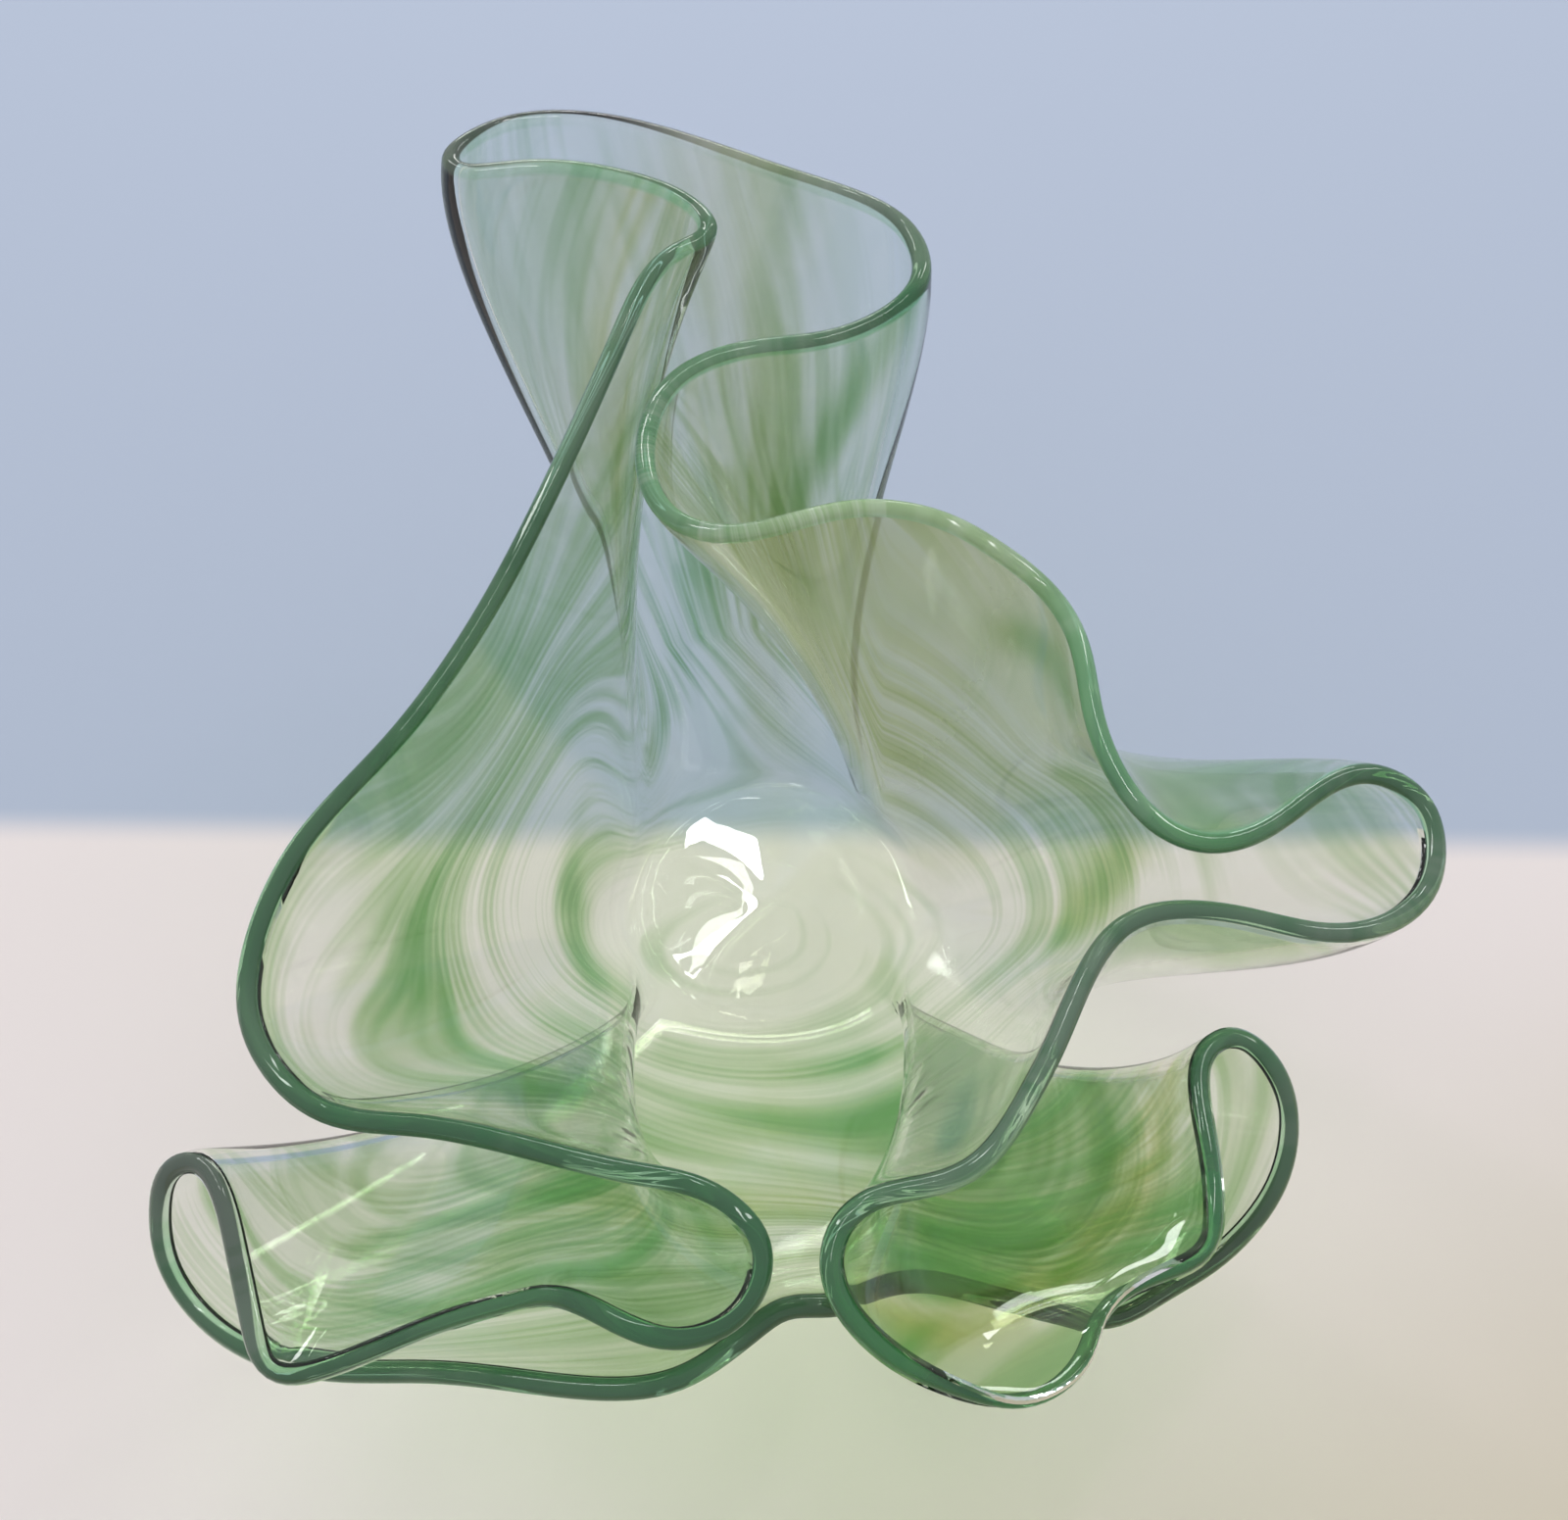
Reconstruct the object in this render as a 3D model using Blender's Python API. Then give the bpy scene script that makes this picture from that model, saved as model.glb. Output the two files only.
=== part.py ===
"""Handkerchief vase: one sheet of streaky green glass, slumped over a round post so that
its edge falls into five lobes, with a flat round foot and a fire-polished rim.

It stands on its foot. The origin is the centre of the flat underside, +Z is up and the
front lobe, with its two arms, points to -Y.

The rim is a closed curve through points given fold by fold. The wall runs down from it to
the foot circle: the lower it gets, the more its folds open out.
"""
import bpy
import bmesh
import math
import numpy as np

MM = 0.001

# Main sizes, in millimetres: the spans of the rim along X and Y and its highest point, all
# on the middle of the glass, then the glass, the foot and the bend round the foot
RIM_WIDTH = 210.5
RIM_DEPTH = 221.0
RIM_HEIGHT = 130.0
SHEET_THICKNESS = 3.5
FOOT_RADIUS = 32.0
FOOT_BEND = 5.0

# Wall between foot and rim: over what length of rim a fold has opened out at the foot, how
# much sooner than straight the wall flares, over what length two guides blend, and the
# factor that makes a guide's push whole where the belly is fullest
FOLD_OPENING = 45.0
FLARE = 1.4
GUIDE_BLEND = 14.0
BELLY_PEAK = 6.75

# Mesh: columns round the rim, rows up the wall, steps over the rounded rim, steps between
# two rim points, steps of the smoothed curves, extra columns where the rim bends, over how
# many glass thicknesses they spread, crowding of rows near the foot, the height of the
# first row, and how near the turn's row comes to the foot circle
COLUMNS = 150
WALL_ROWS = 10
RIM_STEPS = 3
SPLINE_STEPS = 16
FINE_COLUMNS = 1024
BEND_CROWDING = 12.0
CROWD_SPREAD = 2.0
ROW_SPREAD = 0.9
FIRST_ROW = 0.05
TURN_PULL = 0.5

# The rim, fold by fold and counterclockwise seen from above.
# For each fold: its points on the middle of the glass (x, y, z in millimetres), then its
# guides: point number, foot angle in degrees, and how far the belly of the wall is pushed
# away from a plain run down to the foot (x, y, z in millimetres).
RIM_FOLDS = (
    ("left lobe",
     ((-18.5, 60, 128), (-25.5, 45.5, 124), (-36, 17.5, 118), (-47, -6.5, 112),
      (-60.5, -26.5, 106), (-74, -41, 100), (-81, -55.5, 94), (-81.5, -66.5, 90),
      (-77, -75, 87), (-67.5, -81.5, 85), (-53, -83.5, 85), (-36, -87, 85),
      (-20.5, -91.5, 87), (-10, -94, 88)),
     ((0, 155, (-4, -2, 0)), (6, 180, (0, 0, 0)), (8, 193, (0, 0, 0)))),
    ("valley between left and front lobes",
     ((-3.5, -97.5, 88), (0.5, -102.5, 87), (0.5, -108, 85), (-3.5, -113, 82)),
     ((1, 207, (-8, 0, 3)),)),
    ("front lobe, left arm",
     ((-11.5, -115, 79), (-20.5, -112, 76), (-30.5, -107.5, 74), (-39, -108, 72),
      (-49.5, -111, 71), (-61, -115.5, 70), (-71, -118.5, 70), (-75.5, -117, 70),
      (-79, -110, 70), (-83, -99, 70), (-86.5, -90.5, 70), (-91.5, -84.5, 69),
      (-97, -84.5, 66), (-99.5, -89, 61), (-98, -97, 57), (-91, -105.5, 54),
      (-80, -111.5, 54), (-67, -114, 56), (-52.5, -114.5, 58), (-36.5, -116.5, 60),
      (-23.5, -118, 62), (-13.5, -117, 64), (-6, -113.5, 67)),
     ((4, 218, (-3, 2, 8)), (13, 229, (-3, 3, 3)), (18, 240, (0, 0, 0)))),
    ("front lobe, neck",
     ((-0.5, -110, 70), (4, -108, 72), (10.5, -108, 73)),
     ((1, 270, (0, 0, 0)),)),
    ("front lobe, right arm",
     ((16, -105.5, 69), (25, -102.5, 62), (36.5, -102.5, 55), (48, -103.5, 51),
      (58, -103.5, 50), (66.5, -99.5, 51), (74, -95.5, 53), (81, -90, 56),
      (86, -83, 61), (87.5, -75, 66), (84.5, -68.5, 72), (79, -63.5, 73),
      (73.5, -66, 74), (71, -72.5, 75), (71, -83, 76), (70.5, -93, 78),
      (68.5, -101, 78), (62.5, -105, 78), (55, -108.5, 78), (50.5, -113, 78),
      (48, -118, 78), (43, -123, 79), (36.5, -125, 80), (29.5, -124, 82),
      (21, -120.5, 84), (13, -114, 87)),
     ((4, 296, (0, 0, 0)), (9, 312, (0, 0, 0)), (14, 317, (0, 0, 6)), (21, 324, (0, 0, 16)))),
    ("valley between front and right lobes",
     ((10, -107, 89), (12, -100.5, 90), (17.5, -96.5, 90), (26, -94.5, 90)),
     ((0, 332, (0, 0, 6)),)),
    ("right lobe",
     ((33.5, -90.5, 90), (40.5, -81, 90), (46, -71, 90), (51, -60.5, 90),
      (57.5, -51.5, 90), (66, -48, 90), (78, -49, 90), (90, -52, 90),
      (100.5, -51, 90), (108, -46, 91), (111, -38, 92), (109.5, -30, 93),
      (101.5, -26.5, 95), (93, -29.5, 95), (83, -37.5, 96), (72.5, -41.5, 97),
      (64, -38.5, 98), (57.5, -29.5, 100)),
     ((3, 340, (0, -3, 0)), (7, 348, (0, -5, 0)), (10, 353, (0, 3, 0)),
      (12, 357, (0, 12, 0)), (15, 362, (0, 28, 0)), (17, 368, (0, 20, 0)))),
    ("upper right lobe",
     ((54.5, -18, 102), (53, -5.5, 104), (48, 5.5, 105), (40, 12.5, 107),
      (30.5, 18.5, 108), (16.5, 19.5, 110), (3, 15, 111), (-7.5, 12, 112)),
     ((1, 380, (0, 8, 0)), (3, 387, (0, 0, 0)), (6, 398, (0, 0, 0)))),
    ("valley between upper right and back lobes",
     ((-16, 14.5, 113), (-20.5, 21.5, 115), (-20.5, 32, 117), (-15.5, 40, 120)),
     ((1, 404, (2, 8, 0)),)),
    ("back lobe",
     ((-3.5, 45, 122), (10, 45.5, 124), (21.5, 50, 126), (27, 57, 128),
      (25, 67.5, 129), (17, 74, 130), (3, 81, 130), (-15, 90, 130),
      (-33, 96, 130), (-48.5, 94.5, 130), (-56.5, 87.5, 130), (-57, 84.5, 130),
      (-54.5, 82, 130), (-43, 83, 130), (-28, 81, 130), (-16, 75.5, 130)),
     ((3, 412, (3, 0, 0)), (7, 455, (0, 0, 0)), (10, 485, (-9, -4, 0)))),
    ("valley between back and left lobes",
     ((-10.5, 69.5, 130), (-10, 66, 130), (-12.5, 64.5, 129)),
     ()),
)


def clear_scene():
    """Remove whatever objects the scene starts with."""
    for item in list(bpy.data.objects):
        bpy.data.objects.remove(item, do_unlink=True)


def closed_spline(points):
    """A closed smooth curve through the points, as many small steps; also the length of
    curve at which each point lies, and the whole length."""
    count = len(points)
    ahead = np.roll(points, -1, axis=0)
    span = np.sqrt(np.linalg.norm(ahead - points, axis=1))
    slope = (ahead - points) / span[:, None]
    system = np.zeros((count, count))
    for i in range(count):
        system[i, i - 1] += span[i - 1]
        system[i, i] += 2.0 * (span[i - 1] + span[i])
        system[i, (i + 1) % count] += span[i]
    bend = np.linalg.solve(system, 6.0 * (slope - np.roll(slope, 1, axis=0)))
    pieces = []
    for i in range(count):
        j = (i + 1) % count
        h = span[i]
        t = np.arange(SPLINE_STEPS)[:, None] / SPLINE_STEPS * h
        start = points[i] / h - bend[i] * h / 6.0
        end = points[j] / h - bend[j] * h / 6.0
        cubic = (bend[i] * (h - t) ** 3 + bend[j] * t ** 3) / (6.0 * h)
        pieces.append(cubic + start * (h - t) + end * t)
    curve = np.vstack(pieces)
    step_length = np.linalg.norm(np.roll(curve, -1, axis=0) - curve, axis=1)
    reached = np.concatenate([[0.0], np.cumsum(step_length)])
    return curve, reached, reached[:-1:SPLINE_STEPS], reached[-1]


def soften(values, width, length):
    """Columns of values round a closed curve, each smoothed over a width of its length."""
    count = len(values)
    waves = np.fft.rfftfreq(count, length / count)
    kept = np.exp(-2.0 * (math.pi * waves * width) ** 2)
    return np.fft.irfft(np.fft.rfft(values, axis=0) * kept[:, None], count, axis=0)


def round_the_rim(stations, values, turn, length):
    """Values given at stations of a closed curve, at every fine column; turn is what the
    value gains over one whole round."""
    wide = np.concatenate([stations - length, stations, stations + length])
    tall = np.concatenate([values - turn, values, values + turn])
    order = np.argsort(wide)
    places = np.arange(FINE_COLUMNS) * length / FINE_COLUMNS
    return np.interp(places, wide[order], tall[order])


def read_folds():
    """The rim points of all folds in one list, and the guides with their place in it, both
    stretched from the drawn spans to the main sizes."""
    points = []
    guides = []
    for name, fold_points, fold_guides in RIM_FOLDS:
        for number, angle, push in fold_guides:
            guides.append((len(points) + number, angle) + push)
        points.extend(fold_points)
    points = np.array(points, float)
    guides = np.array(guides, float)
    drawn = np.array([np.ptp(points[:, 0]), np.ptp(points[:, 1]), points[:, 2].max()])
    stretch = np.array([RIM_WIDTH, RIM_DEPTH, RIM_HEIGHT]) / drawn
    guides[:, 2:] *= stretch
    return points * stretch, guides


def rim_and_guides():
    """Rim curve at even steps, foot angle and belly push at the same steps, rim length."""
    points, guides = read_folds()
    curve, reached, at_point, length = closed_spline(points)
    closed = np.vstack([curve, curve[:1]])
    places = np.arange(FINE_COLUMNS) * length / FINE_COLUMNS
    rim = np.stack([np.interp(places, reached, closed[:, k]) for k in range(3)], axis=1)
    stations = at_point[guides[:, 0].astype(int)]
    share = 360.0 * np.arange(FINE_COLUMNS) / FINE_COLUMNS
    angle = round_the_rim(stations, guides[:, 1], 360.0, length) - share
    angle = soften(angle[:, None], GUIDE_BLEND, length)[:, 0] + share
    push = np.stack([round_the_rim(stations, guides[:, k], 0.0, length) for k in (2, 3, 4)],
                    axis=1)
    return rim, np.radians(angle), soften(push, GUIDE_BLEND, length), length


def choose_columns(rim, length):
    """Fine columns that the mesh keeps: closer together where the rim bends tightly."""
    step = length / FINE_COLUMNS
    turning = np.roll(rim, -1, axis=0) - 2.0 * rim + np.roll(rim, 1, axis=0)
    curvature = np.linalg.norm(turning, axis=1) / step ** 2
    spread = CROWD_SPREAD * SHEET_THICKNESS
    crowd = 1.0 + BEND_CROWDING * soften(curvature[:, None], spread, length)[:, 0]
    reached = np.concatenate([[0.0], np.cumsum(crowd)])
    wanted = np.arange(COLUMNS) / COLUMNS * reached[-1]
    return np.interp(wanted, reached, np.arange(FINE_COLUMNS + 1))


def at_columns(values, columns):
    """Fine values read off at the chosen columns."""
    below = np.floor(columns).astype(int) % FINE_COLUMNS
    part = (columns - np.floor(columns))[:, None]
    return values[below] * (1.0 - part) + values[(below + 1) % FINE_COLUMNS] * part


def wall_row(height, rim, angle, push, length):
    """One closed level line of the wall: height 0 is the foot circle, height 1 the rim."""
    opened = soften(rim, FOLD_OPENING * (1.0 - height), length)
    out = 1.0 - (1.0 - height) ** FLARE
    belly = BELLY_PEAK * height ** 2 * (1.0 - height)
    foot = FOOT_RADIUS * np.stack([np.cos(angle), np.sin(angle)], axis=1)
    plan = foot * (1.0 - out) + opened[:, :2] * out + push[:, :2] * belly
    level = opened[:, 2] * height + push[:, 2] * belly
    return np.concatenate([plan, level[:, None]], axis=1)


def middle_surface():
    """Rows of points on the middle of the glass, from the flat foot up to the rim."""
    rim, angle, push, length = rim_and_guides()
    columns = choose_columns(rim, length)
    heights = [0.0, FIRST_ROW] + list((np.arange(1, WALL_ROWS + 1) / WALL_ROWS) ** ROW_SPREAD)
    circle, low, *wall = [at_columns(wall_row(height, rim, angle, push, length), columns)
                          for height in heights]
    flat = circle * (1.0 - FOOT_BEND / FOOT_RADIUS)
    turn = TURN_PULL * circle + (1.0 - TURN_PULL) / 2.0 * (flat + low)
    rows = np.array([flat, turn, low] + wall)
    rows[:, :, 2] += SHEET_THICKNESS / 2.0
    return rows


def unit(vectors):
    """The same directions, one unit long."""
    return vectors / np.linalg.norm(vectors, axis=-1)[..., None]


def glass_skin(rows):
    """Rows of the skin: from the edge of the flat underside up the outside, over the rounded
    rim and down the inside to the edge of the flat floor."""
    along = np.roll(rows, -1, axis=1) - np.roll(rows, 1, axis=1)
    upward = np.gradient(rows, axis=0)
    inward = unit(np.cross(upward, along))
    inward *= np.sign(inward[0, :, 2].mean())
    inward[0] = (0.0, 0.0, 1.0)
    half = SHEET_THICKNESS / 2.0
    crest = unit(rows[-1] - rows[-2])
    skin = [row - half * side for row, side in zip(rows[:-1], inward[:-1])]
    edge = rows[-1] - half * crest
    for k in range(RIM_STEPS + 1):
        a = math.pi * (k / RIM_STEPS - 0.5)
        skin.append(edge + half * (math.sin(a) * inward[-1] + math.cos(a) * crest))
    skin += [row + half * side for row, side in zip(rows[-2::-1], inward[-2::-1])]
    return np.array(skin)


def green_glass():
    """Streaky green art glass, in one plain mid green."""
    material = bpy.data.materials.new("green glass")
    material.use_nodes = True
    shader = material.node_tree.nodes["Principled BSDF"]
    shader.inputs["Base Color"].default_value = (0.32, 0.62, 0.36, 1.0)
    shader.inputs["Roughness"].default_value = 0.04
    shader.inputs["IOR"].default_value = 1.52
    shader.inputs["Transmission Weight"].default_value = 1.0
    return material


def build_vase():
    """The closed skin as one mesh object."""
    skin = glass_skin(middle_surface()) * MM
    form = bmesh.new()
    rings = [[form.verts.new(point) for point in row] for row in skin]
    for lower, upper in zip(rings[:-1], rings[1:]):
        for i in range(COLUMNS):
            j = (i + 1) % COLUMNS
            form.faces.new((lower[i], lower[j], upper[j], upper[i]))
    flats = [form.faces.new(rings[0]), form.faces.new(rings[-1])]
    bmesh.ops.poke(form, faces=flats)
    bmesh.ops.recalc_face_normals(form, faces=form.faces)
    mesh = bpy.data.meshes.new("vase")
    form.to_mesh(mesh)
    form.free()
    mesh.polygons.foreach_set("use_smooth", [True] * len(mesh.polygons))
    mesh.materials.append(green_glass())
    vase = bpy.data.objects.new("vase", mesh)
    bpy.context.scene.collection.objects.link(vase)
    return vase


clear_scene()
build_vase()
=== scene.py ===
"""Looks of the handkerchief vase: one slumped sheet of streaky green art glass that stands
on a pale table, seen from above and in front, into its mouth.

The glass is one closed skin. It follows the same rim folds and the same wall rule as the
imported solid, on a much finer grid, so it stays where the solid is. Lengths in the tables
are millimetres, and one scale factor turns them into metres.
"""
import bpy
import math
import numpy as np
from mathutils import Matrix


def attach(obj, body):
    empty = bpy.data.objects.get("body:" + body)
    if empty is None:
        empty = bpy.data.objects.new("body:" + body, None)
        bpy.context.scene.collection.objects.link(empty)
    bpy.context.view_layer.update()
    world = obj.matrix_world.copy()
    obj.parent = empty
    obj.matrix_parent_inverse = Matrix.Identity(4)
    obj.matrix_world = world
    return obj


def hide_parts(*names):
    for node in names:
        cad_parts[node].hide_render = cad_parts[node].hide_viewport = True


MM = 0.001

# Glass and foot, in millimetres
SHEET_THICKNESS = 3.5
FOOT_RADIUS = 32.0
FOOT_BEND = 5.0

# Wall between foot and rim: over what length of rim a fold has opened out at the foot, how
# much sooner than straight the wall flares, over what length two guides blend, and a factor
# that brings the belly's height ** 2 * (1 - height) to 1 where it is largest
FOLD_OPENING = 45.0
FLARE = 1.4
GUIDE_BLEND = 14.0
BELLY_PEAK = 6.75

# Mesh: columns round the rim, rows up the wall, over the foot's bend and over the rounded
# rim, rings of the flat, steps of the smoothed curves, crowding of columns where the rim
# bends and of rows near the foot
COLUMNS = 720
WALL_ROWS = 50
BEND_ROWS = 7
RIM_STEPS = 10
FLAT_RINGS = (0.2, 0.5, 0.75, 0.91, 0.945, 0.975)
FINE_COLUMNS = 4096
SPLINE_STEPS = 48
BEND_CROWDING = 10.0
ROW_SPREAD = 0.95
FIRST_ROW = 0.05

# The rim, fold by fold and counterclockwise seen from above.
# For each fold: its points on the middle of the glass (x, y, z in millimetres), then its
# guides: point number, foot angle in degrees, and how far the belly of the wall is pushed
# away from a plain run down to the foot (x, y, z in millimetres).
RIM_FOLDS = (
    ("left lobe",
     ((-18.5, 60, 128), (-25.5, 45.5, 124), (-36, 17.5, 118), (-47, -6.5, 112),
      (-60.5, -26.5, 106), (-74, -41, 100), (-81, -55.5, 94), (-81.5, -66.5, 90),
      (-77, -75, 87), (-67.5, -81.5, 85), (-53, -83.5, 85), (-36, -87, 85),
      (-20.5, -91.5, 87), (-10, -94, 88)),
     ((0, 155, (-4, -2, 0)), (6, 180, (0, 0, 0)), (8, 193, (0, 0, 0)))),
    ("valley between left and front lobes",
     ((-3.5, -97.5, 88), (0.5, -102.5, 87), (0.5, -108, 85), (-3.5, -113, 82)),
     ((1, 207, (-8, 0, 3)),)),
    ("front lobe, left arm",
     ((-11.5, -115, 79), (-20.5, -112, 76), (-30.5, -107.5, 74), (-39, -108, 72),
      (-49.5, -111, 71), (-61, -115.5, 70), (-71, -118.5, 70), (-75.5, -117, 70),
      (-79, -110, 70), (-83, -99, 70), (-86.5, -90.5, 70), (-91.5, -84.5, 69),
      (-97, -84.5, 66), (-99.5, -89, 61), (-98, -97, 57), (-91, -105.5, 54),
      (-80, -111.5, 54), (-67, -114, 56), (-52.5, -114.5, 58), (-36.5, -116.5, 60),
      (-23.5, -118, 62), (-13.5, -117, 64), (-6, -113.5, 67)),
     ((4, 218, (-3, 2, 8)), (13, 229, (-3, 3, 3)), (18, 240, (0, 0, 0)))),
    ("front lobe, neck",
     ((-0.5, -110, 70), (4, -108, 72), (10.5, -108, 73)),
     ((1, 270, (0, 0, 0)),)),
    ("front lobe, right arm",
     ((16, -105.5, 69), (25, -102.5, 62), (36.5, -102.5, 55), (48, -103.5, 51),
      (58, -103.5, 50), (66.5, -99.5, 51), (74, -95.5, 53), (81, -90, 56),
      (86, -83, 61), (87.5, -75, 66), (84.5, -68.5, 72), (79, -63.5, 73),
      (73.5, -66, 74), (71, -72.5, 75), (71, -83, 76), (70.5, -93, 78),
      (68.5, -101, 78), (62.5, -105, 78), (55, -108.5, 78), (50.5, -113, 78),
      (48, -118, 78), (43, -123, 79), (36.5, -125, 80), (29.5, -124, 82),
      (21, -120.5, 84), (13, -114, 87)),
     ((4, 296, (0, 0, 0)), (9, 312, (0, 0, 0)), (14, 317, (0, 0, 6)), (21, 324, (0, 0, 16)))),
    ("valley between front and right lobes",
     ((10, -107, 89), (12, -100.5, 90), (17.5, -96.5, 90), (26, -94.5, 90)),
     ((0, 332, (0, 0, 6)),)),
    ("right lobe",
     ((33.5, -90.5, 90), (40.5, -81, 90), (46, -71, 90), (51, -60.5, 90),
      (57.5, -51.5, 90), (66, -48, 90), (78, -49, 90), (90, -52, 90),
      (100.5, -51, 90), (108, -46, 91), (111, -38, 92), (109.5, -30, 93),
      (101.5, -26.5, 95), (93, -29.5, 95), (83, -37.5, 96), (72.5, -41.5, 97),
      (64, -38.5, 98), (57.5, -29.5, 100)),
     ((3, 340, (0, -3, 0)), (7, 348, (0, -5, 0)), (10, 353, (0, 3, 0)),
      (12, 357, (0, 12, 0)), (15, 362, (0, 28, 0)), (17, 368, (0, 20, 0)))),
    ("upper right lobe",
     ((54.5, -18, 102), (53, -5.5, 104), (48, 5.5, 105), (40, 12.5, 107),
      (30.5, 18.5, 108), (16.5, 19.5, 110), (3, 15, 111), (-7.5, 12, 112)),
     ((1, 380, (0, 8, 0)), (3, 387, (0, 0, 0)), (6, 398, (0, 0, 0)))),
    ("valley between upper right and back lobes",
     ((-16, 14.5, 113), (-20.5, 21.5, 115), (-20.5, 32, 117), (-15.5, 40, 120)),
     ((1, 404, (2, 8, 0)),)),
    ("back lobe",
     ((-3.5, 45, 122), (10, 45.5, 124), (21.5, 50, 126), (27, 57, 128),
      (25, 67.5, 129), (17, 74, 130), (3, 81, 130), (-15, 90, 130),
      (-33, 96, 130), (-48.5, 94.5, 130), (-56.5, 87.5, 130), (-57, 84.5, 130),
      (-54.5, 82, 130), (-43, 83, 130), (-28, 81, 130), (-16, 75.5, 130)),
     ((3, 412, (3, 0, 0)), (7, 455, (0, 0, 0)), (10, 485, (-9, -4, 0)))),
    ("valley between back and left lobes",
     ((-10.5, 69.5, 130), (-10, 66, 130), (-12.5, 64.5, 129)),
     ()),
)

# How the streaks lie in the glass. Round the rim, by share of its length counted from the
# first point of the left lobe: how green the glass is, how much of the green is olive and
# how much is a cool sea green, how far the streaks run up the wall instead of round it, and
# how milky the glass is
ROUND_LOOKS = (
    (0.000, 0.26, 0.15, 0.00, 0.3, 0.00), (0.050, 0.34, 0.15, 0.00, 0.0, 0.00),
    (0.105, 0.32, 0.15, 0.00, 0.0, 0.00), (0.150, 0.46, 0.10, 0.00, 0.0, 0.00),
    (0.200, 0.56, 0.00, 0.10, 0.0, 0.00), (0.235, 0.38, 0.05, 0.05, 0.0, 0.00),
    (0.265, 0.12, 0.10, 0.00, 0.0, 0.00), (0.300, 0.18, 0.10, 0.00, 0.0, 0.00),
    (0.345, 0.30, 0.15, 0.00, 0.0, 0.00), (0.385, 0.40, 0.25, 0.00, 0.0, 0.00),
    (0.430, 0.62, 0.10, 0.10, 0.0, 0.00), (0.470, 0.30, 0.20, 0.00, 0.0, 0.00),
    (0.505, 0.62, 0.20, 0.05, 0.0, 0.00), (0.550, 0.66, 0.30, 0.00, 0.0, 0.00),
    (0.580, 0.32, 0.10, 0.10, 0.0, 0.00), (0.610, 0.08, 0.10, 0.10, 0.0, 0.00),
    (0.660, 0.08, 0.15, 0.00, 0.0, 0.00), (0.695, 0.32, 0.20, 0.15, 0.0, 0.00),
    (0.740, 0.30, 0.75, 0.00, 0.0, 0.20), (0.780, 0.22, 0.95, 0.00, 0.0, 0.38),
    (0.812, 0.24, 0.85, 0.00, 0.6, 0.20), (0.835, 0.24, 0.40, 0.10, 1.0, 0.08),
    (0.860, 0.14, 0.20, 0.20, 1.0, 0.00), (0.880, 0.06, 0.00, 0.40, 1.0, 0.00),
    (0.905, 0.14, 0.55, 0.00, 1.0, 0.16), (0.930, 0.12, 0.00, 0.30, 1.0, 0.00),
    (0.960, 0.13, 0.15, 0.30, 1.0, 0.00), (0.980, 0.24, 0.45, 0.00, 0.9, 0.00),
)
# Up the wall, by reach from the middle of the foot in millimetres: what part of that green
# and milk the glass has, and how strongly its streaks show
REACH_LOOKS = ((0, 0.0, 0.22), (24, 0.1, 0.35), (34, 0.35, 0.6), (60, 0.85, 0.95),
               (85, 1.0, 1.0), (160, 1.0, 1.0))
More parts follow.
